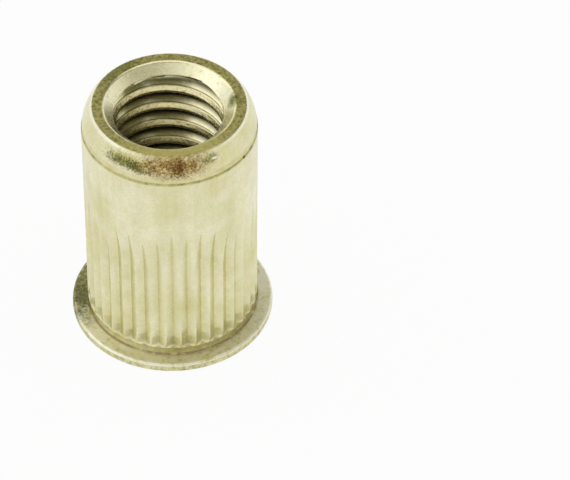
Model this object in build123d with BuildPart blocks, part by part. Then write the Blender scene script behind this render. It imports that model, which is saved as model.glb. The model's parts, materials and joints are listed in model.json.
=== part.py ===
from build123d import *
import math
import os

os.makedirs("parts", exist_ok=True)

# Blind rivet nut for a 5/16-18 UNC screw: small flat flange, knurled round shank, open threaded nose.
# Millimetres. +Z runs from the flange to the nose; z = 0 is the flange's outer face, centred on the axis.

# screw and its thread
screw_major_diameter = 7.94
screw_clearance = 0.46
thread_minor_diameter = 6.5

# outside
overall_length = 16.7
shank_diameter = 10.7
flange_diameter = 12.7
flange_thickness = 0.6
flange_rim_rounding = 0.2
flange_root_fillet = 0.12

# nose
nose_face_diameter = 9.36
nose_arc_radius = 2.5
nose_step = 0.05
nose_face_rounding = 0.1
countersink_diameter = 8.0
countersink_half_angle = 44.0
countersink_lip_rounding = 0.25

# inside
counterbore_depth = 7.6
counterbore_cone_half_angle = 45.0
entry_chamfer = 0.3

# knurl
groove_count = 36
groove_depth = 0.27
groove_half_angle = 56.0
groove_start = 1.15
groove_level_end = 7.3
knurl_roll_radius = 19.0
knurl_rise = 0.04
cutter_margin = 0.3

shank_radius = shank_diameter / 2
flange_radius = flange_diameter / 2
nose_face_radius = nose_face_diameter / 2
step_radius = shank_radius - nose_step
minor_radius = thread_minor_diameter / 2
countersink_radius = countersink_diameter / 2
counterbore_radius = (screw_major_diameter + screw_clearance) / 2

# the nose is an arc that leaves the stepped shank along the axis and ends at the nose face
arc_centre_x = step_radius - nose_arc_radius
arc_rise = math.sqrt(nose_arc_radius**2 - (nose_face_radius - arc_centre_x) ** 2)
arc_start_z = overall_length - arc_rise
arc_sweep = math.degrees(math.atan2(arc_rise, nose_face_radius - arc_centre_x))
countersink_depth = (countersink_radius - minor_radius) / math.tan(math.radians(countersink_half_angle))
cone_depth = (counterbore_radius - minor_radius) / math.tan(math.radians(counterbore_cone_half_angle))

# a groove's floor is level, then follows the knurling roll out through the shank's surface to a pointed tip
floor_radius = shank_radius - groove_depth
cutter_height = groove_depth + cutter_margin
cutter_half_width = cutter_height * math.tan(math.radians(groove_half_angle))
roll_sweep = math.degrees(math.acos(1 - cutter_height / knurl_roll_radius))
groove_tip = groove_level_end + math.sqrt(2 * knurl_roll_radius * groove_depth - groove_depth**2)

with BuildPart() as groove_cutter:
    with BuildLine(Plane.XZ) as groove_floor:
        level = Line((floor_radius, groove_start), (floor_radius, groove_level_end))
        JernArc(level @ 1, level % 1, knurl_roll_radius, -roll_sweep)
    with BuildSketch(Plane.XY.offset(groove_start)):
        with BuildLine():
            Polyline(
                (floor_radius, 0),
                (floor_radius + cutter_height, cutter_half_width),
                (floor_radius + cutter_height, -cutter_half_width),
                close=True,
            )
        make_face()
    sweep(path=groove_floor.line)

with BuildPart() as rivet_nut:
    # half section, turned about the axis; the knurled length swells a little where its metal was pushed up
    with BuildSketch(Plane.XZ):
        with BuildLine():
            Polyline(
                (counterbore_radius, 0),
                (flange_radius, 0),
                (flange_radius, flange_thickness),
                (shank_radius, flange_thickness),
                (shank_radius, groove_start),
                (shank_radius + knurl_rise, groove_start + knurl_rise),
                (shank_radius, groove_tip),
                (shank_radius, arc_start_z - nose_step),
                (step_radius, arc_start_z),
            )
            CenterArc((arc_centre_x, arc_start_z), nose_arc_radius, 0, arc_sweep)
            Polyline(
                (nose_face_radius, overall_length),
                (countersink_radius, overall_length),
                (minor_radius, overall_length - countersink_depth),
                (minor_radius, counterbore_depth + cone_depth),
                (counterbore_radius, counterbore_depth),
                (counterbore_radius, 0),
            )
        make_face()
    revolve(axis=Axis.Z)

    # rounded rim and root of the flange, rounded nose face, chamfered screw entry
    outer_face_edges = rivet_nut.faces().sort_by(Axis.Z)[0].edges().sort_by(SortBy.RADIUS)
    nose_face_edges = rivet_nut.faces().sort_by(Axis.Z)[-1].edges().sort_by(SortBy.RADIUS)
    seat_face = rivet_nut.faces().filter_by(Plane.XY).sort_by(Axis.Z)[1]
    seat_edges = seat_face.edges().sort_by(SortBy.RADIUS)
    fillet([outer_face_edges[-1], seat_edges[-1]], flange_rim_rounding)
    fillet(seat_edges[0], flange_root_fillet)
    fillet(nose_face_edges[-1], nose_face_rounding)
    fillet(nose_face_edges[0], countersink_lip_rounding)
    chamfer(outer_face_edges[0], entry_chamfer)

    # knurl
    with PolarLocations(0, groove_count):
        add(groove_cutter.part, mode=Mode.SUBTRACT)

rivet_nut.part.label = "rivet_nut"
rivet_nut.part.color = Color(0.78, 0.77, 0.62)
export_step(rivet_nut.part, "parts/rivet_nut.step")
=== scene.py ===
"""A knurled blind rivet nut for a 5/16-18 screw, standing on its flange on a pale table.

Sizes are in millimetres and degrees unless a comment says otherwise. Heights are measured up the axis from
the flange's outer face, and bearings round the axis from the front (-Y) towards +X. Meshes are made in
metres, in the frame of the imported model.
"""
import json
import logging
import math
from dataclasses import dataclass
from enum import Enum
from typing import Any, Mapping, Sequence, Union

import bpy
from mathutils import Matrix, Quaternion, Vector


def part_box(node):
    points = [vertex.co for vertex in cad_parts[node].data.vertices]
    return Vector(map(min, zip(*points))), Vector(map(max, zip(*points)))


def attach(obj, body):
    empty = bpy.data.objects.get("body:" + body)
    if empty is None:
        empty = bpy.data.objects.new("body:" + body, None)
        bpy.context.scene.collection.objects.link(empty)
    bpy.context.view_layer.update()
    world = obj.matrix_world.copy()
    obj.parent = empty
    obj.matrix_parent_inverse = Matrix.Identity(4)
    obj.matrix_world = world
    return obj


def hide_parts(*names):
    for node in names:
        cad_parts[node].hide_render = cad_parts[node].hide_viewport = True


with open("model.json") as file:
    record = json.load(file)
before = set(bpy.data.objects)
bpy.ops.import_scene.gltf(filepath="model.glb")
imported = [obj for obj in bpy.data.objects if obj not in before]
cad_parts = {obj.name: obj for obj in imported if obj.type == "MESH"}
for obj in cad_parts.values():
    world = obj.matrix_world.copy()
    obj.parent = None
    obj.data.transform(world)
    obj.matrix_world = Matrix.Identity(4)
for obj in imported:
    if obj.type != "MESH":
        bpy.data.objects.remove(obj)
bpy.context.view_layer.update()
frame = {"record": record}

MM = 0.001
INCH = 25.4
# points nearer to each other than this become one, which closes the seams
MERGE = 0.002
# the share of a groove's columns that lies on each flank and on each half of the land
QUARTER = 0.25
MATH = "ShaderNodeMath"
LOG = logging.getLogger("rivet_nut")
Point = tuple[float, float]
Place = tuple[float, float, float]
Colour = tuple[float, float, float, float]
Feed = Union[bpy.types.NodeSocket, bpy.types.Node, bpy.types.Material, float, int, tuple]


def linear(code: str) -> Colour:
    """Turns an sRGB hex colour to the linear values that a shader takes.

    Args:
        code: the colour, such as "E9E4BE".

    Returns:
        Red, green and blue, and 1 for a full cover.
    """
    parts = [int(code[i : i + 2], 16) / 255 for i in (0, 2, 4)]
    red, green, blue = [c / 12.92 if c <= 0.04045 else ((c + 0.055) / 1.055) ** 2.4 for c in parts]
    return red, green, blue, 1.0


def add_node(
    tree: bpy.types.NodeTree,
    kind: str,
    inputs: Union[Sequence[Feed], Mapping[str, Feed]] = (),
    **settings: Any,
) -> bpy.types.Node:
    """Adds one node, with its settings and what feeds it.

    Args:
        tree: the node tree.
        kind: the node's type name.
        inputs: what feeds its open sockets, in order or by name: a socket, a node, which gives its first
            open output, or a value.
        settings: the node's own properties.

    Returns:
        The new node.
    """
    node = tree.nodes.new(kind)
    for name, value in settings.items():
        setattr(node, name, value)
    sockets = [socket for socket in node.inputs if socket.enabled]
    if isinstance(inputs, Mapping):
        pairs = [(next(s for s in sockets if s.name == name), feed) for name, feed in inputs.items()]
    else:
        pairs = list(zip(sockets, inputs))
    for socket, feed in pairs:
        if isinstance(feed, bpy.types.Node):
            feed = next(s for s in feed.outputs if s.enabled)
        if isinstance(feed, bpy.types.NodeSocket):
            tree.links.new(feed, socket)
        else:
            socket.default_value = feed
    return node


def set_stops(ramp: bpy.types.ColorRamp, places: Sequence[float], codes: Sequence[str]) -> None:
    """Gives a colour ramp its stops.

    Args:
        ramp: the ramp, new, with its first two stops.
        places: where the stops lie, from 0 to 1.
        codes: their sRGB hex colours.
    """
    while len(ramp.elements) < len(places):
        ramp.elements.new(0.5)
    for element, place, code in zip(ramp.elements, places, codes):
        element.position = place
        element.color = linear(code)


def arc(centre: Point, radius: float, start: float, end: float, steps: int) -> list[Point]:
    """Points along an arc, both ends included.

    Args:
        centre: the arc's centre.
        radius: its radius.
        start: the angle at which it starts, in degrees.
        end: the angle at which it ends.
        steps: how many straight steps it is drawn in.

    Returns:
        The points in order.
    """
    angles = [math.radians(start + (end - start) * i / steps) for i in range(steps + 1)]
    return [(centre[0] + radius * math.cos(a), centre[1] + radius * math.sin(a)) for a in angles]


def rounded(before: Point, corner: Point, after: Point, radius: float, steps: int) -> list[Point]:
    """Points along the rounding that replaces a corner between two straight lines.

    Args:
        before: a point on the line into the corner.
        corner: the sharp corner.
        after: a point on the line out of it.
        radius: the rounding's radius.
        steps: how many straight steps it is drawn in.

    Returns:
        The points in order, from the line in to the line out.
    """
    tip = Vector(corner)
    into = (Vector(before) - tip).normalized()
    out = (Vector(after) - tip).normalized()
    half_angle = into.angle(out) / 2
    centre = tip + (into + out).normalized() * radius / math.sin(half_angle)
    start = tip + into * radius / math.tan(half_angle) - centre
    end = tip + out * radius / math.tan(half_angle) - centre
    turn = start.angle_signed(end)
    points = [centre + Matrix.Rotation(-turn * i / steps, 2) @ start for i in range(steps + 1)]
    return [(p.x, p.y) for p in points]


def straight(start: Point, end: Point, steps: int) -> list[Point]:
    """Points inside a straight line, without its two ends.

    Args:
        start: the line's start.
        end: its end.
        steps: how many equal steps it is drawn in.

    Returns:
        The points in order.
    """
    shares = [i / steps for i in range(1, steps)]
    return [(start[0] + (end[0] - start[0]) * t, start[1] + (end[1] - start[1]) * t) for t in shares]


def mount(name: str) -> Mapping[str, Any]:
    """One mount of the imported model, by its name in the record."""
    return next(m for m in frame["record"]["mounts"] if m["name"] == name)


def mount_span(name: str) -> tuple[float, float, float]:
    """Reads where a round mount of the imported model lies.

    Args:
        name: the mount's name in the record.

    Returns:
        Its radius and the heights of its lower and upper ends.
    """
    record = mount(name)
    middle = record["pos_m"][2] / MM
    reach = record["dims"]["length_mm"] / 2
    return record["dims"]["r_mm"], middle - reach, middle + reach


def between(tree: bpy.types.NodeTree, value: Feed, low: float, high: float, soft: float) -> bpy.types.Node:
    """Marks a stretch of a value with soft ends.

    Args:
        tree: the node tree.
        value: the value.
        low: where the stretch starts.
        high: where it ends.
        soft: how far each end fades to either side.

    Returns:
        A node that gives 1 inside the stretch and 0 outside it.
    """
    rises = add_node(
        tree,
        "ShaderNodeMapRange",
        {"Value": value, "From Min": low - soft, "From Max": low + soft},
        interpolation_type="SMOOTHSTEP",
    )
    falls = add_node(
        tree,
        "ShaderNodeMapRange",
        {"Value": value, "From Min": high + soft, "From Max": high - soft},
        interpolation_type="SMOOTHSTEP",
    )
    return add_node(tree, MATH, (rises, falls), operation="MULTIPLY")


@dataclass
class Outside:
    """The turned outside: nose, shank, collar and flange, and the counterbore behind them.

    Each stretch of its section has its own number of straight steps. A close row stands beside a rounding, so
    that the rounding's shading ends there.
    """

    length: float
    flange_radius: float
    flange_thickness: float
    shank_radius: float
    counterbore_radius: float
    counterbore_start: float
    counterbore_depth: float
    rim_rounding: float = 0.2
    root_rounding: float = 0.12
    nose_face_radius: float = 4.68
    nose_arc_radius: float = 2.5
    nose_step: float = 0.05
    nose_face_rounding: float = 0.1
    mouth_radius: float = 4.0
    mouth_half_angle: float = 44.0
    lip_rounding: float = 0.25
    nose_dish: float = 0.015
    cone_steps: int = 5
    lip_steps: int = 5
    nose_face_steps: int = 3
    nose_edge_steps: int = 4
    nose_arc_steps: int = 14
    root_steps: int = 4
    rim_steps: int = 6
    wall_steps: int = 5
    # a close row lies one part of its line away from the rounding, out of this many
    mouth_parts: int = 24
    flange_parts: int = 20
    # the stretch of the collar above the flange's root from which the root's rounding is worked out
    collar_reach: float = 0.3

    def witness_line(self) -> float:
        """The height of the small step where the nose was pressed."""
        centre = self.shank_radius - self.nose_step - self.nose_arc_radius
        return self.length - math.sqrt(self.nose_arc_radius**2 - (self.nose_face_radius - centre) ** 2)

    def mouth_radius_at(self, height: float) -> float:
        """The countersink's radius at a height."""
        slope = math.tan(math.radians(self.mouth_half_angle))
        return self.mouth_radius - (self.length - self.nose_dish - height) * slope

    def mouth(self, ring_height: float) -> list[Point]:
        """The countersink from its lowest ring, and its rounded lip.

        Args:
            ring_height: the height of the ring.

        Returns:
            The points in order, up to the nose face, with a close row on each side of the lip.
        """
        ring = (self.mouth_radius_at(ring_height), ring_height)
        edge = (self.mouth_radius, self.length - self.nose_dish)
        rim = (self.nose_face_radius, self.length)
        lip = rounded(ring, edge, rim, self.lip_rounding, self.lip_steps)
        cone = straight(ring, lip[0], self.cone_steps) + straight(ring, lip[0], self.mouth_parts)[-1:]
        return [ring] + cone + lip + straight(lip[-1], rim, self.mouth_parts)[:1]

    def nose(self) -> list[Point]:
        """The outer edge of the nose face and the arc that joins it to the shank.

        Returns:
            The points in order, from the nose face down to the small step's foot.
        """
        centre_x = self.shank_radius - self.nose_step - self.nose_arc_radius
        arc_z = self.witness_line()
        edge_z = self.length - self.nose_face_rounding
        inner_reach = self.nose_arc_radius - self.nose_face_rounding
        edge_x = centre_x + math.sqrt(inner_reach**2 - (edge_z - arc_z) ** 2)
        meeting = math.degrees(math.atan2(edge_z - arc_z, edge_x - centre_x))
        edge = arc((edge_x, edge_z), self.nose_face_rounding, 90, meeting, self.nose_edge_steps)
        side = arc((centre_x, arc_z), self.nose_arc_radius, meeting, 0, self.nose_arc_steps)
        return edge + side[1:] + [(self.shank_radius, arc_z - self.nose_step)]

    def flange(self) -> list[Point]:
        """The flange from its root to the start of the screw entry.

        Returns:
            The points in order, with close rows where the flange's face begins and ends.
        """
        collar = (self.shank_radius, self.flange_thickness + self.collar_reach)
        root = (self.shank_radius, self.flange_thickness)
        top = (self.flange_radius, self.flange_thickness)
        bottom = (self.flange_radius, 0.0)
        inner = (self.counterbore_radius + self.counterbore_start, 0.0)
        fillet = rounded(collar, root, top, self.root_rounding, self.root_steps)
        rim = rounded(root, top, bottom, self.rim_rounding, self.rim_steps)
        face = straight(fillet[-1], rim[0], self.flange_parts)
        lower_rim = rounded(top, bottom, inner, self.rim_rounding, self.rim_steps)
        return fillet + face[:1] + face[-1:] + rim + lower_rim + [inner]

    def counterbore(self) -> list[Point]:
        """The end of the chamfered entry and the plain wall up to the lower cone.

        Returns:
            The points in order, from the entry up.
        """
        low = (self.counterbore_radius, self.counterbore_start)
        high = (self.counterbore_radius, self.counterbore_depth)
        return [low] + straight(low, high, self.wall_steps) + [high]


@dataclass
class Knurl:
    """Straight vee grooves rolled along the shank, scooped out at the collar and run out to a point above.

    Tips, lines, edges and crests stray a little from the rule, as rolled ones do.
    """

    start: float
    count: int = 36
    depth: float = 0.27
    half_angle: float = 58.0
    scoop: float = 0.3
    level_end: float = 7.3
    roll_radius: float = 19.0
    swell: float = 0.03
    tip_scatter: float = 0.45
    wander: float = 0.2
    burr: float = 0.01
    burr_reach: float = 0.01
    ragged_size: float = 0.45
    edge_ragged: float = 0.06
    crest_ragged: float = 0.03
    # past its tip a groove's columns take this length to spread out evenly again
    opening: float = 1.7
    least_half_spread: float = 0.35
    # the band starts this far above the tips, and its rows are close from past the tips to below the run-out
    band_above: float = 2.1
    close_margin: float = 0.5
    collar_edge: float = 0.06
    above_steps: int = 5
    run_out_steps: int = 27
    level_steps: int = 32
    scoop_steps: int = 6

    def tip(self) -> float:
        """The height at which a groove has run out through the surface."""
        return self.level_end + math.sqrt(2 * self.roll_radius * self.depth - self.depth**2)

    def band(self, shank_radius: float) -> list[Point]:
        """The shank's section along the knurl, from above the tips down to the plain collar.

        Args:
            shank_radius: the plain shank's radius.

        Returns:
            The points in order, with close rows where the grooves run out and where they are scooped.
        """
        above = (shank_radius, self.tip() + self.band_above)
        run_out_start = (shank_radius, self.tip() + self.close_margin)
        level_top = (shank_radius, self.level_end - self.close_margin)
        crown = shank_radius + self.swell
        level_bottom = (crown, self.start + self.scoop)
        scoop = []
        for step in range(1, self.scoop_steps):
            fall = self.swell / 2 * step / (self.scoop_steps - 1)
            turn = math.radians(90 * step / self.scoop_steps)
            scoop.append((crown - fall, self.start + self.scoop * (1 - math.sin(turn))))
        collar = [(shank_radius + self.swell / 2, self.start), (shank_radius, self.start - self.collar_edge)]
        return (
            [above]
            + straight(above, run_out_start, self.above_steps)
            + [run_out_start]
            + straight(run_out_start, level_top, self.run_out_steps)
            + [level_top]
            + straight(level_top, level_bottom, self.level_steps)
            + [level_bottom]
            + scoop
            + collar
        )


@dataclass
class TappedBore:
    """The tapped hole: a right-handed thread that runs out through the countersink and a lower cone.

    Its crests are worn on their upper corners, and its upper flanks are a little steeper than new ones.
    """

    minor_radius: float
    major_radius: float = 3.97
    threads_per_inch: float = 18.0
    crest_foot_at_back: float = 14.8
    crest_land: float = 0.15
    wear: float = 0.2
    wear_height: float = 0.26
    upper_flank_slope: float = 40.0
    underside_slope: float = 30.0
    crest_rounding: float = 0.06
    root_rounding: float = 0.05
    cone_half_angle: float = 45.0
    closest_row: float = 0.03
    land_steps: int = 3
    corner_steps: int = 2
    flank_steps: int = 4
    # how far past its two ends the section reaches, besides the turn that it climbs
    spare: float = 0.2
    run_out_above_cone: float = 0.17
    run_out_slope: float = 0.9
    run_out_blend: float = 0.1

    def pitch(self) -> float:
        """The rise of one turn."""
        return INCH / self.threads_per_inch

    def turn(self) -> list[Point]:
        """One turn's section, as radius and height from the foot of its crest.

        Returns:
            The points in order of height.
        """
        pitch = self.pitch()
        rise = math.tan(math.radians(self.upper_flank_slope))
        fall = math.tan(math.radians(self.underside_slope))
        foot = (self.minor_radius, 0.0)
        wear_foot = (self.minor_radius, self.crest_land)
        wear_top = (self.minor_radius + self.wear, self.crest_land + self.wear_height)
        root_start = (self.major_radius, wear_top[1] + (self.major_radius - wear_top[0]) * rise)
        root_end = (self.major_radius, pitch - (self.major_radius - self.minor_radius) * fall)
        next_foot = (self.minor_radius, pitch)
        next_land = (self.minor_radius, pitch + self.crest_land)
        lower = rounded(foot, wear_foot, wear_top, self.crest_rounding, self.land_steps)
        upper = rounded(wear_foot, wear_top, root_start, self.crest_rounding, self.corner_steps)
        start = rounded(wear_top, root_start, root_end, self.root_rounding, self.corner_steps)
        end = rounded(root_start, root_end, next_foot, self.root_rounding, self.corner_steps)
        edge = rounded(root_end, next_foot, next_land, self.crest_rounding, self.land_steps)
        worn = straight(lower[-1], upper[0], self.flank_steps)
        rising = straight(upper[-1], start[0], 2 * self.flank_steps)
        falling = straight(end[-1], edge[0], self.flank_steps)
        return lower + worn + upper + rising + start + end + falling + edge

    def section(self, low: float, high: float) -> list[Point]:
        """The thread's section at the grid's first column, long enough to reach both ends all the way round.

        Args:
            low: the height of the bore's lower end.
            high: the height of its upper end.

        Returns:
            The points in order of height, with spare ones past both ends.
        """
        pitch = self.pitch()
        # the grid starts at +X, a quarter turn before the back
        foot = self.crest_foot_at_back - pitch / 4
        first = math.floor((low - pitch - foot) / pitch) - 1
        last = math.ceil((high - foot) / pitch)
        points = [(r, foot + k * pitch + z) for k in range(first, last + 1) for r, z in self.turn()]
        return [p for p in points if low - pitch - self.spare < p[1] < high + self.spare]


@dataclass
class RivetNut:
    """The whole one-piece nut."""

    outside: Outside
    knurl: Knurl
    bore: TappedBore
    columns_per_groove: int = 8
    sharp_edge: float = 26.0
    seed: int = 7

    def run_out_ring(self) -> Point:
        """Works out where the thread has run out into the countersink.

        Returns:
            The ring's radius and height.
        """
        slope = math.tan(math.radians(self.outside.mouth_half_angle))
        top = self.outside.length - self.outside.nose_dish
        cone_foot = top - (self.outside.mouth_radius - self.bore.minor_radius) / slope
        height = cone_foot + self.bore.run_out_above_cone
        return self.outside.mouth_radius_at(height), height

    def section_mesh(self) -> tuple[bpy.types.Mesh, int, int]:
        """Makes the section as a row of points in the XZ plane.

        Returns:
            The mesh, and how many of its points belong to the outside and to the bore.
        """
        ring_height = self.run_out_ring()[1]
        mouth = self.outside.mouth(ring_height)
        nose = self.outside.nose()
        outside = (
            mouth
            + straight(mouth[-1], nose[0], self.outside.nose_face_steps)
            + nose
            + self.knurl.band(self.outside.shank_radius)
            + self.outside.flange()
            + self.outside.counterbore()
        )
        bore = self.bore.section(self.outside.counterbore_depth, ring_height)
        mesh = bpy.data.meshes.new("section")
        mesh.from_pydata([(r * MM, 0.0, z * MM) for r, z in outside + bore], [], [])
        return mesh, len(outside), len(bore)

    def inputs(self, outside_rows: int, bore_rows: int) -> dict[str, Union[int, float]]:
        """The tree's named inputs and their values.

        Args:
            outside_rows: how many points the outside's section has.
            bore_rows: how many points the bore's section has.

        Returns:
            Each input's value by its name, in millimetres and radians, or a whole number where it counts.
        """
        ring_radius, ring_height = self.run_out_ring()
        return {
            "Outside rows": outside_rows,
            "Bore rows": bore_rows,
            "Groove count": self.knurl.count,
            "Columns per groove": self.columns_per_groove,
            "Groove depth": self.knurl.depth,
            "Groove half angle": math.radians(self.knurl.half_angle),
            "Groove start": self.knurl.start,
            "Scoop": self.knurl.scoop,
            "Level end": self.knurl.level_end,
            "Roll radius": self.knurl.roll_radius,
            "Tip height": self.knurl.tip(),
            "Tip scatter": self.knurl.tip_scatter,
            "Wander": math.radians(self.knurl.wander),
            "Burr": self.knurl.burr,
            "Burr reach": self.knurl.burr_reach,
            "Ragged size": self.knurl.ragged_size,
            "Edge ragged": self.knurl.edge_ragged,
            "Crest ragged": self.knurl.crest_ragged,
            "Shank radius": self.outside.shank_radius,
            "Opening": self.knurl.opening,
            "Plain half spread": math.pi / self.knurl.count / 2,
            "Least half spread": math.radians(self.knurl.least_half_spread),
            "Inner limit": (self.outside.shank_radius + self.outside.counterbore_radius) / 2,
            "Thread pitch": self.bore.pitch(),
            "Run-out slope": self.bore.run_out_slope,
            "Run-out blend": self.bore.run_out_blend,
            "Mouth ring radius": ring_radius,
            "Mouth ring height": ring_height,
            "Mouth half angle": math.radians(self.outside.mouth_half_angle),
            "Cone radius": self.outside.counterbore_radius,
            "Cone height": self.outside.counterbore_depth,
            "Cone half angle": math.radians(self.bore.cone_half_angle),
            "Closest row": self.bore.closest_row,
            "Sharp edge": math.radians(self.sharp_edge),
            "Seed": self.seed,
        }

    def tree(
        self, values: Mapping[str, Union[int, float]], material: bpy.types.Material
    ) -> bpy.types.NodeTree:
        """Builds the node tree that turns, knurls and taps the nut from its section.

        Args:
            values: the named inputs and their first values.
            material: what the finished mesh is made of.

        Returns:
            The tree, with one socket for each named input.
        """
        tree = bpy.data.node_groups.new("turned, knurled and tapped", "GeometryNodeTree")
        tree.is_modifier = True
        tree.interface.new_socket("Geometry", in_out="OUTPUT", socket_type="NodeSocketGeometry")
        tree.interface.new_socket("Section", in_out="INPUT", socket_type="NodeSocketGeometry")
        for name, value in values.items():
            socket_type = "NodeSocketInt" if isinstance(value, int) else "NodeSocketFloat"
            socket = tree.interface.new_socket(name, in_out="INPUT", socket_type=socket_type)
            socket.default_value = value
        given = add_node(tree, "NodeGroupInput").outputs

        # both grids have one column more than the turn has, so that the last falls on the first
        counts = (given["Groove count"], given["Columns per groove"])
        columns = add_node(tree, MATH, counts, operation="MULTIPLY")
        width = add_node(tree, MATH, (columns, 1.0), operation="ADD")
        index = add_node(tree, "GeometryNodeInputIndex")
        index_middle = add_node(tree, MATH, (index, 0.5), operation="ADD")
        rows_before = add_node(tree, MATH, (index_middle, width), operation="DIVIDE")
        row = add_node(tree, MATH, (rows_before,), operation="FLOOR")
        row_start = add_node(tree, MATH, (row, width), operation="MULTIPLY")
        column = add_node(tree, MATH, (index, row_start), operation="SUBTRACT")
        outside = self.turn_outside(tree, given, width, row, column)
        bore = self.tap_bore(tree, given, columns, width, row, column)

        joined = add_node(tree, "GeometryNodeJoinGeometry", (outside,))
        tree.links.new(bore.outputs[0], joined.inputs[0])
        closed = add_node(tree, "GeometryNodeMergeByDistance", {"Geometry": joined, "Distance": MERGE * MM})
        smooth = add_node(tree, "GeometryNodeSetShadeSmooth", {"Geometry": closed, "Shade Smooth": True})
        bend = add_node(tree, "GeometryNodeInputMeshEdgeAngle")
        is_sharp = add_node(
            tree,
            "FunctionNodeCompare",
            {"A": bend, "B": given["Sharp edge"]},
            data_type="FLOAT",
            operation="GREATER_THAN",
        )
        creased = add_node(
            tree,
            "GeometryNodeSetShadeSmooth",
            {"Geometry": smooth, "Selection": is_sharp, "Shade Smooth": False},
            domain="EDGE",
        )
        realized = add_node(tree, "GeometryNodeRealizeInstances", (creased,))
        dressed = add_node(tree, "GeometryNodeSetMaterial", {"Geometry": realized, "Material": material})
        add_node(tree, "NodeGroupOutput", (dressed,))
        return tree

    def sampled(
        self, tree: bpy.types.NodeTree, given: bpy.types.NodeOutputs, row: bpy.types.Node
    ) -> tuple[bpy.types.NodeSocket, bpy.types.NodeSocket]:
        """Reads one point of the section.

        Args:
            tree: the node tree.
            given: the tree's inputs by name.
            row: which point.

        Returns:
            Its radius and its height, in millimetres.
        """
        position = add_node(tree, "GeometryNodeInputPosition")
        sample = add_node(
            tree,
            "GeometryNodeSampleIndex",
            {"Geometry": given["Section"], "Value": position, "Index": row},
            data_type="FLOAT_VECTOR",
            domain="POINT",
            clamp=True,
        )
        in_mm = add_node(tree, "ShaderNodeVectorMath", {"Vector": sample, "Scale": 1 / MM}, operation="SCALE")
        parts = add_node(tree, "ShaderNodeSeparateXYZ", (in_mm,))
        return parts.outputs["X"], parts.outputs["Z"]

    def placed(
        self,
        tree: bpy.types.NodeTree,
        width: bpy.types.Node,
        rows: bpy.types.NodeSocket,
        angle: bpy.types.Node,
        radius: bpy.types.Node,
        height: Feed,
    ) -> bpy.types.Node:
        """Lays a grid round the axis.

        Args:
            tree: the node tree.
            width: how many points each row has.
            rows: how many rows there are.
            angle: each point's angle from +X, in radians.
            radius: its distance from the axis, in millimetres.
            height: its height, in millimetres.

        Returns:
            The grid's last node.
        """
        grid = add_node(tree, "GeometryNodeMeshGrid", {"Vertices X": rows, "Vertices Y": width})
        cosine = add_node(tree, MATH, (angle,), operation="COSINE")
        sine = add_node(tree, MATH, (angle,), operation="SINE")
        x = add_node(tree, MATH, (cosine, radius), operation="MULTIPLY")
        y = add_node(tree, MATH, (sine, radius), operation="MULTIPLY")
        point = add_node(tree, "ShaderNodeCombineXYZ", (x, y, height))
        in_metres = add_node(tree, "ShaderNodeVectorMath", {"Vector": point, "Scale": MM}, operation="SCALE")
        return add_node(tree, "GeometryNodeSetPosition", {"Geometry": grid, "Position": in_metres})

    def turn_outside(
        self,
        tree: bpy.types.NodeTree,
        given: bpy.types.NodeOutputs,
        width: bpy.types.Node,
        row: bpy.types.Node,
        column: bpy.types.Node,
    ) -> bpy.types.Node:
        """Turns the outside's section about the axis and rolls the knurl into it.

        Each groove's columns close up with its edges, so that the edges stay crisp out to the tip.

        Args:
            tree: the node tree.
            given: the tree's inputs by name.
            width: how many points each row has.
            row: each point's row.
            column: each point's column.

        Returns:
            The last node of the outside's mesh.
        """
        radius, height = self.sampled(tree, given, row)
        place = add_node(tree, MATH, (column, given["Columns per groove"]), operation="DIVIDE")
        nearest = add_node(tree, MATH, (place,), operation="ROUND")
        off = add_node(tree, MATH, (place, nearest), operation="SUBTRACT")
        side = add_node(tree, MATH, (off,), operation="SIGN")
        reach = add_node(tree, MATH, (off,), operation="ABSOLUTE")
        groove = add_node(tree, MATH, (nearest, given["Groove count"]), operation="MODULO")

        # every groove's tip and line stray a little
        least = add_node(tree, MATH, (given["Tip scatter"], -1.0), operation="MULTIPLY")
        strays = {"Min": least, "Max": given["Tip scatter"], "ID": groove, "Seed": given["Seed"]}
        tip_shift = add_node(tree, "FunctionNodeRandomValue", strays, data_type="FLOAT")
        least = add_node(tree, MATH, (given["Wander"], -1.0), operation="MULTIPLY")
        next_seed = add_node(tree, MATH, (given["Seed"], 1.0), operation="ADD")
        strays = {"Min": least, "Max": given["Wander"], "ID": groove, "Seed": next_seed}
        wander = add_node(tree, "FunctionNodeRandomValue", strays, data_type="FLOAT")

        # the depth follows the knurling roll, which rises out of the metal above the level stretch
        above_level = add_node(tree, MATH, (height, given["Level end"]), operation="SUBTRACT")
        past_level = add_node(tree, MATH, (above_level, tip_shift), operation="SUBTRACT")
        run = add_node(tree, MATH, (past_level, 0.0), operation="MAXIMUM")
        run_squared = add_node(tree, MATH, (run, run), operation="MULTIPLY")
        roll = given["Roll radius"]
        roll_squared = add_node(tree, MATH, (roll, roll), operation="MULTIPLY")
        rest_squared = add_node(tree, MATH, (roll_squared, run_squared), operation="SUBTRACT")
        rest_kept = add_node(tree, MATH, (rest_squared, 0.0), operation="MAXIMUM")
        rest = add_node(tree, MATH, (rest_kept,), operation="SQRT")
        lift = add_node(tree, MATH, (roll, rest), operation="SUBTRACT")
        depth_left = add_node(tree, MATH, (given["Groove depth"], lift), operation="SUBTRACT")
        depth = add_node(tree, MATH, (depth_left, 0.0), operation="MAXIMUM")
        slope = add_node(tree, MATH, (given["Groove half angle"],), operation="TANGENT")
        turn_for_depth = add_node(tree, MATH, (slope, given["Shank radius"]), operation="DIVIDE")
        half_width = add_node(tree, MATH, (depth, turn_for_depth), operation="MULTIPLY")

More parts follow.
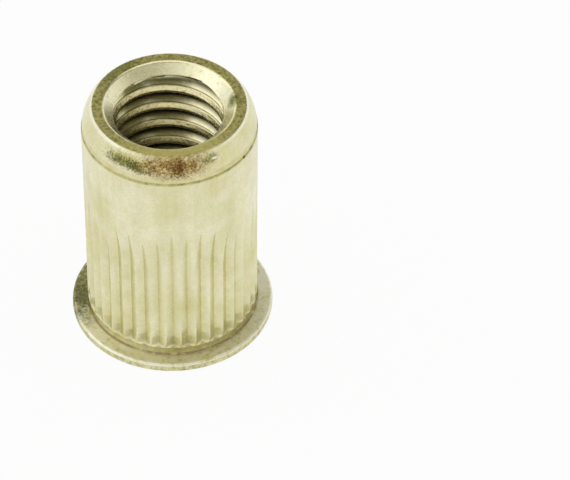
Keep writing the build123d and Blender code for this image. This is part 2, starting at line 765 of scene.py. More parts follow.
        # past the tip the columns open out again to even ones
        tip = add_node(tree, MATH, (given["Tip height"], tip_shift), operation="ADD")
        above_tip = add_node(tree, MATH, (height, tip), operation="SUBTRACT")
        past_tip = {"Value": above_tip, "From Max": given["Opening"]}
        opening = add_node(tree, "ShaderNodeMapRange", past_tip)
        open_width = add_node(
            tree,
            "ShaderNodeMapRange",
            {"Value": opening, "To Min": given["Least half spread"], "To Max": given["Plain half spread"]},
        )
        knurl_spread = add_node(tree, MATH, (half_width, open_width), operation="MAXIMUM")
        is_outer = add_node(tree, MATH, (radius, given["Inner limit"]), operation="GREATER_THAN")
        spread = add_node(
            tree,
            "ShaderNodeMapRange",
            {"Value": is_outer, "To Min": given["Plain half spread"], "To Max": knurl_spread},
        )

        # a quarter pitch of columns lies on each flank and a quarter on each half of the land
        flank_share = add_node(tree, MATH, (reach, QUARTER), operation="MINIMUM")
        land_share = add_node(tree, MATH, (reach, flank_share), operation="SUBTRACT")
        half_pitch = add_node(tree, MATH, (math.pi, given["Groove count"]), operation="DIVIDE")
        land_room = add_node(tree, MATH, (half_pitch, spread), operation="SUBTRACT")
        on_flank = add_node(tree, MATH, (flank_share, spread), operation="MULTIPLY")
        on_land = add_node(tree, MATH, (land_share, land_room), operation="MULTIPLY")
        both = add_node(tree, MATH, (on_flank, on_land), operation="ADD")
        from_middle = add_node(tree, MATH, (both, 1 / QUARTER), operation="MULTIPLY")

        # the vee itself, scooped out to the collar, and the burr pushed up there
        flank_rise = add_node(tree, MATH, (from_middle, turn_for_depth), operation="DIVIDE")
        below_skin = add_node(tree, MATH, (depth, flank_rise), operation="SUBTRACT")
        vee = add_node(tree, MATH, (below_skin, 0.0), operation="MAXIMUM")
        scoop_top = add_node(tree, MATH, (given["Groove start"], given["Scoop"]), operation="ADD")
        into_scoop = add_node(
            tree,
            "ShaderNodeMapRange",
            {"Value": height, "From Min": scoop_top, "From Max": given["Groove start"]},
        )
        into_squared = add_node(tree, MATH, (into_scoop, into_scoop), operation="MULTIPLY")
        left_squared = add_node(tree, MATH, (1.0, into_squared), operation="SUBTRACT")
        scooped = add_node(tree, MATH, (left_squared,), operation="SQRT")
        vee_left = add_node(tree, MATH, (vee, scooped), operation="MULTIPLY")
        cut = add_node(tree, MATH, (vee_left, is_outer), operation="MULTIPLY")
        above_start = add_node(tree, MATH, (height, given["Groove start"]), operation="SUBTRACT")
        is_collar_edge = add_node(tree, MATH, (above_start, 0.0, given["Burr reach"]), operation="COMPARE")
        burr_shape = add_node(tree, MATH, (vee, given["Groove depth"]), operation="DIVIDE")
        burr_there = add_node(tree, MATH, (burr_shape, is_collar_edge), operation="MULTIPLY")
        burr = add_node(tree, MATH, (burr_there, given["Burr"]), operation="MULTIPLY")

        # the crests are ragged in height and in line, and each edge reads a line of the pattern of its own
        edge_apart = 0.31
        groove_apart = 7.0
        edge = add_node(tree, MATH, (side, edge_apart, groove), operation="MULTIPLY_ADD")
        line = add_node(tree, MATH, (edge, groove_apart), operation="MULTIPLY")
        along = add_node(tree, MATH, (height, given["Ragged size"]), operation="DIVIDE")
        spot = add_node(tree, "ShaderNodeCombineXYZ", (line, along, 0.0))
        ragged = {"Vector": spot, "Scale": 1.0, "Detail": 3.0, "Roughness": 0.65}
        rag = add_node(tree, "ShaderNodeTexNoise", ragged)
        rag_even = add_node(tree, MATH, (rag, -0.5), operation="ADD")
        tip_fade = add_node(tree, MATH, (1.0, opening), operation="SUBTRACT")
        in_band = add_node(tree, MATH, (tip_fade, scooped), operation="MULTIPLY")
        in_outer_band = add_node(tree, MATH, (in_band, is_outer), operation="MULTIPLY")
        to_crest = add_node(tree, MATH, (flank_share, 1 / QUARTER), operation="MULTIPLY")
        rag_here = add_node(tree, MATH, (rag_even, in_outer_band), operation="MULTIPLY")
        rag_on_crest = add_node(tree, MATH, (rag_here, to_crest), operation="MULTIPLY")
        crest_rise = add_node(tree, MATH, (rag_on_crest, given["Crest ragged"]), operation="MULTIPLY")
        uncut = add_node(tree, MATH, (radius, cut), operation="SUBTRACT")
        burred = add_node(tree, MATH, (uncut, burr), operation="ADD")
        final_radius = add_node(tree, MATH, (burred, crest_rise), operation="ADD")

        # the stray of a groove's line fades out on the land beside it and above its tip
        land_fade = add_node(tree, MATH, (land_share, -1 / QUARTER, 1.0), operation="MULTIPLY_ADD")
        fade = add_node(tree, MATH, (land_fade, tip_fade), operation="MULTIPLY")
        outer_fade = add_node(tree, MATH, (fade, is_outer), operation="MULTIPLY")
        edge_stray = add_node(tree, MATH, (given["Edge ragged"], given["Shank radius"]), operation="DIVIDE")
        edge_rag = add_node(tree, MATH, (rag_on_crest, edge_stray), operation="MULTIPLY")
        edge_move = add_node(tree, MATH, (edge_rag, wander), operation="ADD")
        stray = add_node(tree, MATH, (edge_move, outer_fade), operation="MULTIPLY")
        groove_angle = add_node(tree, MATH, (nearest, half_pitch), operation="MULTIPLY")
        straight_angle = add_node(tree, MATH, (groove_angle, 2.0, stray), operation="MULTIPLY_ADD")
        angle = add_node(tree, MATH, (side, from_middle, straight_angle), operation="MULTIPLY_ADD")
        return self.placed(tree, width, given["Outside rows"], angle, final_radius, height)

    def tap_bore(
        self,
        tree: bpy.types.NodeTree,
        given: bpy.types.NodeOutputs,
        columns: bpy.types.Node,
        width: bpy.types.Node,
        row: bpy.types.Node,
        column: bpy.types.Node,
    ) -> bpy.types.Node:
        """Winds the thread's section up a helix, inside the countersink and the lower cone.

        Every row climbs one pitch in a turn, so that the thread's edges run along rows.

        Args:
            tree: the node tree.
            given: the tree's inputs by name.
            columns: how many columns go round.
            width: how many points each row has.
            row: each point's row.
            column: each point's column.

        Returns:
            The last node of the bore's mesh.
        """
        bore_row = add_node(tree, MATH, (row, given["Outside rows"]), operation="ADD")
        section_radius, section_height = self.sampled(tree, given, bore_row)
        turned = add_node(tree, MATH, (column, columns), operation="DIVIDE")
        angle = add_node(tree, MATH, (turned, 2 * math.pi), operation="MULTIPLY")
        winding = (turned, given["Thread pitch"], section_height)
        climbed = add_node(tree, MATH, winding, operation="MULTIPLY_ADD")

        # rows that reach past an end, or almost to it, close up on its ring
        gap_above = add_node(tree, MATH, (given["Mouth ring height"], climbed), operation="SUBTRACT")
        is_past_top = add_node(tree, MATH, (gap_above, given["Closest row"]), operation="LESS_THAN")
        below_top = add_node(tree, MATH, (is_past_top, gap_above, climbed), operation="MULTIPLY_ADD")
        gap_below = add_node(tree, MATH, (given["Cone height"], below_top), operation="SUBTRACT")
        least_gap = add_node(tree, MATH, (given["Closest row"], -1.0), operation="MULTIPLY")
        is_past_end = add_node(tree, MATH, (gap_below, least_gap), operation="GREATER_THAN")
        height = add_node(tree, MATH, (is_past_end, gap_below, below_top), operation="MULTIPLY_ADD")

        # the wall is where thread, countersink or lower cone is widest, and the thread runs out at the mouth
        from_top = add_node(tree, MATH, (height, given["Mouth ring height"]), operation="SUBTRACT")
        mouth_slope = add_node(tree, MATH, (given["Mouth half angle"],), operation="TANGENT")
        countersink = (from_top, mouth_slope, given["Mouth ring radius"])
        mouth = add_node(tree, MATH, countersink, operation="MULTIPLY_ADD")
        before_ring = add_node(tree, MATH, (from_top, -1.0), operation="MULTIPLY")
        run_out = (before_ring, given["Run-out slope"], given["Mouth ring radius"])
        cap = add_node(tree, MATH, run_out, operation="MULTIPLY_ADD")
        thread = add_node(tree, MATH, (section_radius, cap, given["Run-out blend"]), operation="SMOOTH_MIN")
        over_end = add_node(tree, MATH, (given["Cone height"], height), operation="SUBTRACT")
        cone_slope = add_node(tree, MATH, (given["Cone half angle"],), operation="TANGENT")
        cone = add_node(tree, MATH, (over_end, cone_slope, given["Cone radius"]), operation="MULTIPLY_ADD")
        wider = add_node(tree, MATH, (thread, mouth), operation="MAXIMUM")
        radius = add_node(tree, MATH, (wider, cone), operation="MAXIMUM")
        return self.placed(tree, width, given["Bore rows"], angle, radius, height)

    def build(self, material: bpy.types.Material) -> bpy.types.Object:
        """Makes the nut as one plain closed mesh, placed as the model's own node is.

        Args:
            material: what it is made of.

        Returns:
            The piece.
        """
        section, outside_rows, bore_rows = self.section_mesh()
        values = self.inputs(outside_rows, bore_rows)
        host = bpy.data.objects.new("section", section)
        bpy.context.scene.collection.objects.link(host)
        modifier = host.modifiers.new("turned, knurled and tapped", "NODES")
        modifier.node_group = self.tree(values, material)
        for item in modifier.node_group.interface.items_tree:
            if item.in_out == "INPUT" and item.name in values:
                modifier[item.identifier] = values[item.name]
        graph = bpy.context.evaluated_depsgraph_get()
        mesh = bpy.data.meshes.new_from_object(host.evaluated_get(graph))
        host.modifiers.remove(modifier)
        bpy.data.objects.remove(host)
        mesh.name = "rivet_nut_body"
        piece = bpy.data.objects.new("rivet_nut_body", mesh)
        bpy.context.scene.collection.objects.link(piece)
        return piece


class StainKind(Enum):
    """What a mark on the plating is."""

    BROWN_BLOOM = "brown bloom"
    GREEN_BLOOM = "green bloom"
    MAROON_BLOOM = "maroon bloom"
    OLIVE_FILM = "olive film"
    DARK_SPECK = "dark speck"
    BARE_NICK = "bare nick"


@dataclass(frozen=True)
class Stain:
    """One mark on the plating: where its middle is, how far it reaches, how dense and how ragged it is.

    Nearer to the axis than its least radius there is none of it.
    """

    kind: StainKind
    bearing: float
    radius: float
    height: float
    half_width: float
    half_height: float
    cover: float
    ragged: float = 1.3
    least_radius: float = 4.62


@dataclass(frozen=True)
class Zone:
    """A ring of the surface whose film, grain or dirt differs from the rest.

    Its three tones lie in a pattern from dark to light, at their places from 0 to 1 in it. Its relief and its
    roughness add to the metal's own. Some zones paint shade or a highlight into the colour.
    """

    name: str
    radii: Point
    heights: Point
    tones: tuple[str, str, str]
    pattern_size: float
    cover: float
    tone_places: tuple[float, float, float] = (0.36, 0.5, 0.64)
    soft: float = 0.04
    relief: float = 0.0
    rough: float = 0.0


@dataclass(frozen=True)
class Whereabouts:
    """What the finish's patterns read: a point's place, unrolled place, radius and height, in millimetres."""

    place: bpy.types.Node
    unrolled: bpy.types.Node
    radius: bpy.types.NodeSocket
    height: bpy.types.NodeSocket


@dataclass(frozen=True)
class YellowZincPlate:
    """Zinc-plated steel, cold formed and yellow passivated.

    The thin chromate film over bright zinc gives the eye a pale cream metal with a fine pebbled grain and
    cloudy green and pink tints. It is olive and brown where the film is thick, dirty or was handled. Some of
    its
    zones paint in shade: in the thread roots and crest corners, the knurl's valleys and groove ends, the
    flange's root and its rim; and a painted highlight lightens the nose's outer edge.
    """

    name: str = "zinc-plated steel, yellow passivated, cold formed"
    film: str = "E7E3C1"
    thick_film: str = "D6D09A"
    green_tint: str = "D8D9AA"
    pink_tint: str = "E3DAB8"
    pale_gold: str = "E3D9A6"
    brown: str = "705428"
    maroon: str = "4A3226"
    tan: str = "A88C54"
    worn_tan: str = "BEB684"
    dull_green: str = "868548"
    dark_green: str = "4C5026"
    olive: str = "A09A5C"
    olive_film: str = "C8C07A"
    worn_film: str = "F0EDD4"
    # a dark brown, for real dirt and for painted shade in the grooves, creases and on the flange rim
    dirt_and_shade: str = "5A4A22"
    # near black, painted shade for the deep thread roots and the crest corners
    painted_shade: str = "1C1406"
    bare_metal: str = "F4F3E8"
    # how rough the metal is where the film is thin and where it is thick
    roughness: Point = (0.18, 0.36)
    cloud_size: float = 3.0
    cloud_range: Point = (0.38, 0.68)
    tint_size: float = 1.2
    tint_offset: Place = (11.0, 5.0, 7.0)
    tint_cover: float = 0.7
    green_range: Point = (0.5, 0.72)
    pink_range: Point = (0.5, 0.3)
    streak_size: float = 0.55
    streak_length: float = 7.0
    streak_depth: float = 0.22
    # the real grain is a few hundredths of a millimetre; it is drawn coarse enough to show
    grain_size: float = 0.13
    grain_height: float = 0.0016
    grain_depth: float = 0.3
    pebble_size: float = 0.45
    pebble_height: float = 0.0022
    pebble_share: float = 0.35
    # a stain fades from the first of these, in parts of its own reach, to full at the second
    stain_fade: Point = (1.3, 0.35)
    stain_places: tuple[float, float, float] = (0.4, 0.53, 0.68)
    stain_rough: float = 0.12

    def zones(self, nut: RivetNut) -> tuple[Zone, ...]:
        """The rings of the surface that differ from the rest.

        Args:
            nut: the nut, whose sizes place them.

        Returns:
            The zones, the ones beneath first.
        """
        outside = nut.outside
        knurl = nut.knurl
        minor = nut.bore.minor_radius
        crest_edge = minor + nut.bore.wear
        mouth = outside.mouth_radius
        face = outside.nose_face_radius
        top = outside.length
        shank = outside.shank_radius
        floor = shank - knurl.depth
        line = outside.witness_line() - outside.nose_step / 2
        root = outside.flange_thickness
        root_end = root + outside.root_rounding
        # these lie just outside the shank and clear of the whole nut
        skin = shank + 0.1
        overhead = top + 1.0
        beyond = outside.flange_radius + 1.0
        beneath = -1.0
        # the countersink starts here, and the tapped length ends
        countersunk = top - 0.7
        tapped = (outside.counterbore_depth, countersunk)
        return (
            Zone(
                "nose face",
                radii=(mouth + 0.04, face + 0.02),
                heights=(top - 0.1, overhead),
                tones=(self.dark_green, self.olive, self.olive_film),
                pattern_size=0.22,
                cover=0.85,
                tone_places=(0.34, 0.46, 0.58),
                relief=0.008,
                rough=0.06,
            ),
            # lighter film along the nose's outer edge: partly worn film, partly a painted highlight on the
            # rounded edge
            Zone(
                "nose edge",
                radii=(face - 0.02, face + 0.12),
                heights=(top - 0.3, overhead),
                tones=(self.film, self.worn_film, self.bare_metal),
                pattern_size=0.5,
                cover=0.7,
                tone_places=(0.32, 0.42, 0.52),
                rough=-0.06,
            ),
            Zone(
                "countersink",
                radii=(minor, mouth),
                heights=(countersunk, overhead),
                tones=(self.olive_film, self.film, self.worn_film),
                pattern_size=0.3,
                cover=0.8,
                tone_places=(0.3, 0.4, 0.54),
                soft=0.03,
                relief=0.004,
            ),
            Zone(
                "bore",
                radii=(0.0, mouth),
                heights=tapped,
                tones=(self.pale_gold, self.film, self.worn_film),
                pattern_size=0.6,
                cover=0.7,
                tone_places=(0.3, 0.42, 0.54),
                soft=0.1,
                relief=0.003,
                rough=-0.1,
            ),
            # painted shade: the deep thread roots and upper flanks are coloured near black, where little
            # light reaches them
            Zone(
                "thread roots",
                radii=(minor + 0.42, nut.bore.major_radius + 0.4),
                heights=(outside.counterbore_depth, top - 1.15),
                tones=(self.painted_shade, self.painted_shade, self.dirt_and_shade),
                pattern_size=0.4,
                cover=0.96,
                tone_places=(0.3, 0.5, 0.7),
                soft=0.2,
            ),
            Zone(
                "thread crests",
                radii=(0.0, crest_edge - 0.01),
                heights=tapped,
                tones=(self.tan, self.pale_gold, self.film),
                pattern_size=0.22,
                cover=0.85,
                tone_places=(0.34, 0.46, 0.66),
                soft=0.03,
                relief=0.012,
                rough=0.08,
            ),
            # painted shade: a thin dark line along each crest's worn upper corner, standing in for the dark
            # reflection there
            Zone(
                "crest edges",
                radii=(crest_edge, crest_edge + 0.06),
                heights=tapped,
                tones=(self.painted_shade, self.dirt_and_shade, self.olive),
                pattern_size=0.5,
                cover=0.8,
                tone_places=(0.3, 0.5, 0.7),
                soft=0.03,
            ),
            Zone(
                "shoulder",
                radii=(shank - 0.25, skin),
                heights=(line, line + 0.42),
                tones=(self.olive_film, self.thick_film, self.pale_gold),
                pattern_size=0.5,
                cover=0.7,
                tone_places=(0.36, 0.5, 0.66),
                soft=0.06,
                rough=0.06,
            ),
            Zone(
                "witness line",
                radii=(shank - 0.2, skin),
                heights=(line - 0.11, line + 0.06),
                tones=(self.dirt_and_shade, self.olive, self.olive_film),
                pattern_size=0.6,
                cover=0.7,
                tone_places=(0.34, 0.46, 0.62),
                soft=0.05,
                rough=0.22,
            ),
            Zone(
                "flange face",
                radii=(skin, beyond),
                heights=(root - 0.1, root + 0.05),
                tones=(self.thick_film, self.worn_film, self.bare_metal),
                pattern_size=0.4,
                cover=0.95,
                tone_places=(0.34, 0.46, 0.6),
                relief=0.006,
                rough=0.2,
            ),
            # painted shade: the flange's rim and underside are darkened, standing in for the contact shadow
            # and dark reflection near the table
            Zone(
                "flange rim",
                radii=(outside.flange_radius - 0.12, beyond),
                heights=(beneath, root - 0.12),
                tones=(self.dirt_and_shade, self.olive, self.thick_film),
                pattern_size=0.35,
                cover=0.6,
                tone_places=(0.34, 0.44, 0.58),
                relief=0.006,
                rough=0.08,
            ),
            # painted shade: a dark brown line along the crease at the flange's root
            Zone(
                "flange root",
                radii=(shank - 0.1, skin),
                heights=(root, root_end),
                tones=(self.dirt_and_shade, self.brown, self.worn_tan),
                pattern_size=0.8,
                cover=0.75,
                tone_places=(0.4, 0.54, 0.66),
                soft=0.03,
                rough=0.14,
            ),
            Zone(
                "collar",
                radii=(shank - 0.2, skin),
                heights=(root_end, knurl.start),
                tones=(self.tan, self.worn_tan, self.thick_film),
                pattern_size=0.5,
                cover=0.7,
                tone_places=(0.3, 0.44, 0.64),
                rough=0.08,
            ),
            # painted shade: the scooped ends of the knurl grooves are darkened olive where they meet the
            # collar
            Zone(
                "groove feet",
                radii=(floor - 0.1, shank - 0.05),
                heights=(knurl.start - 0.1, knurl.start + 0.8),
                tones=(self.dirt_and_shade, self.olive, self.olive_film),
                pattern_size=0.5,
                cover=0.4,
                tone_places=(0.34, 0.46, 0.66),
                soft=0.12,
                rough=0.2,
            ),
            # the knurl's valleys are tinted olive: partly dirt, partly painted shade for the grooves' darker
            # flanks
            Zone(
                "groove valleys",
                radii=(floor - 0.1, floor + 0.15),
                heights=(knurl.start + knurl.scoop, knurl.tip()),
                tones=(self.olive, self.olive_film, self.thick_film),
                pattern_size=0.6,
                cover=0.4,
                tone_places=(0.3, 0.42, 0.56),
                soft=0.14,
                rough=0.06,
            ),
        )

    def material(self, nut: RivetNut, stains: Sequence[Stain]) -> bpy.types.Material:
        """Builds the material.

        Args:
            nut: the nut that it is for, whose sizes place the zones.
            stains: the marks on the outside.

        Returns:
            The material.
        """
        material = bpy.data.materials.new(self.name)
        material.use_nodes = True
        tree = material.node_tree
        tree.nodes.clear()
        at = self.whereabouts(tree, nut)
        cloud = add_node(
            tree,
            "ShaderNodeTexNoise",
            {"Vector": at.place, "Scale": 1 / self.cloud_size, "Detail": 4.0, "Roughness": 0.6},
        )
        grain = add_node(
            tree,
            "ShaderNodeTexNoise",
            {"Vector": at.place, "Scale": 1 / self.grain_size, "Detail": 3.0, "Roughness": 0.7},
        )
        pebble = add_node(
            tree,
            "ShaderNodeTexNoise",
            {"Vector": at.place, "Scale": 1 / self.pebble_size, "Detail": 2.0, "Roughness": 0.5},
        )
        colour = self.clouded_film(tree, at, cloud, grain)
        coarse = add_node(tree, MATH, (pebble, self.pebble_share), operation="MULTIPLY")
        speckle = add_node(tree, MATH, (grain, 1 - self.pebble_share, coarse), operation="MULTIPLY_ADD")
        smoothest, roughest = self.roughness
        clouded = {"Value": cloud, "To Min": smoothest, "To Max": roughest}
        rough = add_node(tree, "ShaderNodeMapRange", clouded)
        # a pattern spans about half of its range, so it is doubled to reach its full height
        fine = add_node(tree, MATH, (grain, 2 * self.grain_height), operation="MULTIPLY")
        relief = add_node(tree, MATH, (pebble, 2 * self.pebble_height, fine), operation="MULTIPLY_ADD")
        for zone in self.zones(nut):
            colour, rough, relief = self.with_zone(tree, at, zone, colour, rough, relief)
        for stain in stains:
            colour, rough = self.with_stain(tree, at, stain, speckle, colour, rough)
        bump = add_node(tree, "ShaderNodeBump", {"Strength": 1.0, "Distance": MM, "Height": relief})
        shader = add_node(
            tree,
            "ShaderNodeBsdfPrincipled",
            {"Base Color": colour, "Metallic": 1.0, "Roughness": rough, "Normal": bump},
        )
        add_node(tree, "ShaderNodeOutputMaterial", (shader,))
        return material

    def whereabouts(self, tree: bpy.types.NodeTree, nut: RivetNut) -> Whereabouts:
        """Works out where each point lies on the nut.

        Args:
            tree: the material's nodes.
            nut: the nut.

        Returns:
            The place itself, the place unrolled round the shank, the radius and the height.
        """
        texture = add_node(tree, "ShaderNodeTexCoord")
        to_mm = {"Vector": texture.outputs["Object"], "Scale": 1 / MM}
        place = add_node(tree, "ShaderNodeVectorMath", to_mm, operation="SCALE")
        x, y, height = add_node(tree, "ShaderNodeSeparateXYZ", (place,)).outputs
        forward = add_node(tree, MATH, (y, -1.0), operation="MULTIPLY")
        bearing = add_node(tree, MATH, (x, forward), operation="ARCTAN2")
        round_shank = add_node(tree, MATH, (bearing, nut.outside.shank_radius), operation="MULTIPLY")
        unrolled = add_node(tree, "ShaderNodeCombineXYZ", (round_shank, height, 0.0))
        flat = add_node(tree, "ShaderNodeCombineXYZ", (x, y, 0.0))
        from_axis = add_node(tree, "ShaderNodeVectorMath", {"Vector": flat}, operation="LENGTH")
        return Whereabouts(place, unrolled, from_axis.outputs["Value"], height)

    def clouded_film(
        self, tree: bpy.types.NodeTree, at: Whereabouts, cloud: bpy.types.Node, grain: bpy.types.Node
    ) -> bpy.types.Node:
        """Colours the film: cloudy, with green and pink tints, faint drawn streaks and a fine grain.

        Args:
            tree: the material's nodes.
            at: where each point lies.
            cloud: the pattern of thick and thin film.
            grain: the fine pattern.

        Returns:
            The colour.
        """
        thin, thick = self.cloud_range
        clouded = {"Value": cloud, "From Min": thin, "From Max": thick}
        thickness = add_node(tree, "ShaderNodeMapRange", clouded)
        film = {"Factor": thickness, "A": linear(self.film), "B": linear(self.thick_film)}
        colour = add_node(tree, "ShaderNodeMix", film, data_type="RGBA")
        apart = add_node(tree, "ShaderNodeVectorMath", (at.place, self.tint_offset), operation="ADD")
        tint = add_node(
            tree,
            "ShaderNodeTexNoise",
            {"Vector": apart, "Scale": 1 / self.tint_size, "Detail": 3.0, "Roughness": 0.65},
        )
        for code, (none, full) in ((self.green_tint, self.green_range), (self.pink_tint, self.pink_range)):
            spread = {"Value": tint, "From Min": none, "From Max": full, "To Max": self.tint_cover}
            share = add_node(tree, "ShaderNodeMapRange", spread)
            tinted = {"Factor": share, "A": colour, "B": linear(code)}
            colour = add_node(tree, "ShaderNodeMix", tinted, data_type="RGBA")
        stretch = (1 / self.streak_size, 1 / self.streak_length, 0.0)
        drawn = add_node(tree, "ShaderNodeVectorMath", (at.unrolled, stretch), operation="MULTIPLY")
        streak = add_node(tree, "ShaderNodeTexNoise", {"Vector": drawn, "Scale": 1.0, "Detail": 2.0})
        for pattern, depth in ((streak, self.streak_depth), (grain, self.grain_depth)):
            levels = {"Value": pattern, "To Min": 1 - depth / 2, "To Max": 1 + depth / 2}
            level = add_node(tree, "ShaderNodeMapRange", levels)
            shaded = {"Vector": colour, "Scale": level}
            colour = add_node(tree, "ShaderNodeVectorMath", shaded, operation="SCALE")
        return colour

    def with_zone(
        self,
        tree: bpy.types.NodeTree,
        at: Whereabouts,
        zone: Zone,
        colour: bpy.types.Node,
        rough: bpy.types.Node,
        relief: bpy.types.Node,
    ) -> tuple[bpy.types.Node, bpy.types.Node, bpy.types.Node]:
        """Lays one zone over the finish so far.

        Args:
            tree: the material's nodes.
            at: where each point lies.
            zone: the zone.
            colour: the colour so far.
            rough: the roughness so far.
            relief: the relief so far, in millimetres.

        Returns:
            The new colour, roughness and relief.
        """
        in_radii = between(tree, at.radius, zone.radii[0], zone.radii[1], zone.soft)
        in_heights = between(tree, at.height, zone.heights[0], zone.heights[1], zone.soft)
        inside = add_node(tree, MATH, (in_radii, in_heights), operation="MULTIPLY")
        pattern = add_node(
            tree,
            "ShaderNodeTexNoise",
            {"Vector": at.place, "Scale": 1 / zone.pattern_size, "Detail": 4.0, "Roughness": 0.7},
            label=zone.name,
        )
        tones = add_node(tree, "ShaderNodeValToRGB", (pattern,))
        set_stops(tones.color_ramp, zone.tone_places, zone.tones)
        share = add_node(tree, MATH, (inside, zone.cover), operation="MULTIPLY")
        laid = {"Factor": share, "A": colour, "B": tones.outputs["Color"]}
        colour = add_node(tree, "ShaderNodeMix", laid, data_type="RGBA")
        if zone.rough:
            rough = add_node(tree, MATH, (inside, zone.rough, rough), operation="MULTIPLY_ADD")
        if zone.relief:
            bumps = add_node(tree, MATH, (pattern, inside), operation="MULTIPLY")
            relief = add_node(tree, MATH, (bumps, 2 * zone.relief, relief), operation="MULTIPLY_ADD")
        return colour, rough, relief

    def stain_tones(self, kind: StainKind) -> tuple[str, str, str]:
        """The tones of a kind of stain, from dark to light.

        Args:
            kind: the kind.

        Returns:
            Three sRGB hex colours.
        """
        return {
            StainKind.BROWN_BLOOM: (self.brown, self.tan, self.pale_gold),
            StainKind.MAROON_BLOOM: (self.maroon, self.brown, self.tan),
            StainKind.GREEN_BLOOM: (self.dark_green, self.dull_green, self.olive_film),
            StainKind.OLIVE_FILM: (self.olive_film, self.olive_film, self.pale_gold),
            StainKind.DARK_SPECK: (self.maroon, self.dirt_and_shade, self.dirt_and_shade),
            StainKind.BARE_NICK: (self.bare_metal, self.bare_metal, self.bare_metal),
        }[kind]

    def with_stain(
        self,
        tree: bpy.types.NodeTree,
        at: Whereabouts,
        stain: Stain,
        speckle: bpy.types.Node,
        colour: bpy.types.Node,
        rough: bpy.types.Node,
    ) -> tuple[bpy.types.Node, bpy.types.Node]:
        """Lays one stain over the finish so far, with a ragged edge.

        Args:
            tree: the material's nodes.
            at: where each point lies.
            stain: the stain.
            speckle: the pattern of grain and pebbles together, which tears its edge and gives its tones.
            colour: the colour so far.
            rough: the roughness so far.

        Returns:
            The new colour and roughness.
        """
        bearing = math.radians(stain.bearing)
        middle = (stain.radius * math.sin(bearing), -stain.radius * math.cos(bearing), stain.height)
        reach = (1 / stain.half_width, 1 / stain.half_width, 1 / stain.half_height)
        from_middle = add_node(tree, "ShaderNodeVectorMath", (at.place, middle), operation="SUBTRACT")
        scaled = add_node(tree, "ShaderNodeVectorMath", (from_middle, reach), operation="MULTIPLY")
        away = add_node(tree, "ShaderNodeVectorMath", {"Vector": scaled}, operation="LENGTH")
        ragged = add_node(tree, MATH, (speckle, -0.5), operation="ADD")
        edge = (ragged, stain.ragged, away.outputs["Value"])
        torn = add_node(tree, MATH, edge, operation="MULTIPLY_ADD")
        none, full = self.stain_fade
        share = add_node(
            tree,
            "ShaderNodeMapRange",
            {"Value": torn, "From Min": none, "From Max": full, "To Max": stain.cover},
            interpolation_type="SMOOTHSTEP",
        )
        is_outside = add_node(tree, MATH, (at.radius, stain.least_radius), operation="GREATER_THAN")
        share = add_node(tree, MATH, (share, is_outside), operation="MULTIPLY")
        tones = add_node(tree, "ShaderNodeValToRGB", (speckle,))
        set_stops(tones.color_ramp, self.stain_places, self.stain_tones(stain.kind))
        laid = {"Factor": share, "A": colour, "B": tones.outputs["Color"]}
        colour = add_node(tree, "ShaderNodeMix", laid, data_type="RGBA")
        rough = add_node(tree, MATH, (share, self.stain_rough, rough), operation="MULTIPLY_ADD")
        return colour, rough


@dataclass(frozen=True)
class Lamp:
    """A big soft lamp, level above the table: two opposite corners, its height and how bright it looks."""

    name: str
    low: Point
    high: Point
    height: float = 295.0
    glow: float = 1.1


